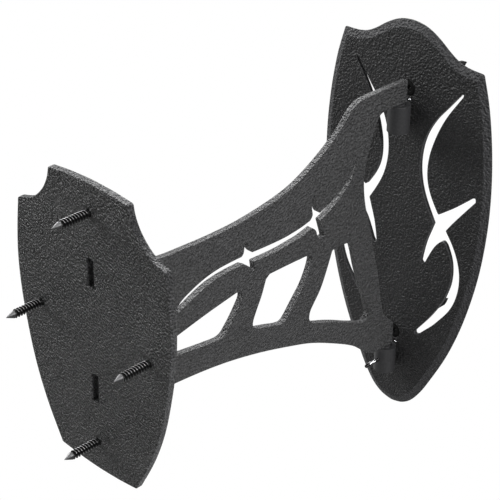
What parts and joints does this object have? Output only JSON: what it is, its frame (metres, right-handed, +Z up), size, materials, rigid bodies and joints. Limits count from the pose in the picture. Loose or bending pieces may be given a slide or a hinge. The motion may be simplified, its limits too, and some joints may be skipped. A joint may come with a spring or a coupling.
{
  "type": "swivelling wall display bracket",
  "caption": "Shield-shaped wall plate with a pierced, swept arm that carries a larger pierced front plate on a lockable vertical swivel hinge, with wood screws.",
  "frame": {"origin": "centre of the wall plate's back face, on the wall", "axes": "+Y points out of the wall into the room, +Z points up, +X points to the right as seen from behind the wall"},
  "size_m": [0.1162, 0.2951, 0.2388],
  "materials": {
    "wall_plate_coat": "charcoal-black wrinkle powder coat, semi-matt",
    "arm_coat": "charcoal-black wrinkle powder coat, semi-matt",
    "front_plate_coat": "charcoal-black wrinkle powder coat over a bevelled edge, semi-matt",
    "tube_coat": "smooth charcoal-black powder coat",
    "black_steel": "glossy black-oxide steel"
  },
  "bodies": {
    "wall_side": {"wall_plate": "wall_plate_coat", "arm_plate": "arm_coat", "upper_hinge_pin": "black_steel", "lower_hinge_pin": "black_steel", "wall_screw_top": "black_steel", "wall_screw_left": "black_steel", "wall_screw_right": "black_steel", "wall_screw_bottom": "black_steel"},
    "front_side": {"front_plate": "front_plate_coat", "upper_hinge_tube": "tube_coat", "lower_hinge_tube": "tube_coat", "front_screw_upper": "black_steel", "front_screw_lower": "black_steel"},
    "lock": {"lock_screw": "black_steel"}
  },
  "joints": [
    {"name": "front_plate_swivel", "type": "hinge", "parent": "wall_side", "child": "front_side", "pos_m": [0, 0.2169, 0], "axis": [0, 0, 1], "range_deg": [-90, 90]},
    {"name": "lock_screw_travel", "type": "slide", "parent": "front_side", "child": "lock", "axis": [0, -1, 0], "range_m": [0, 0.003]}
  ]
}
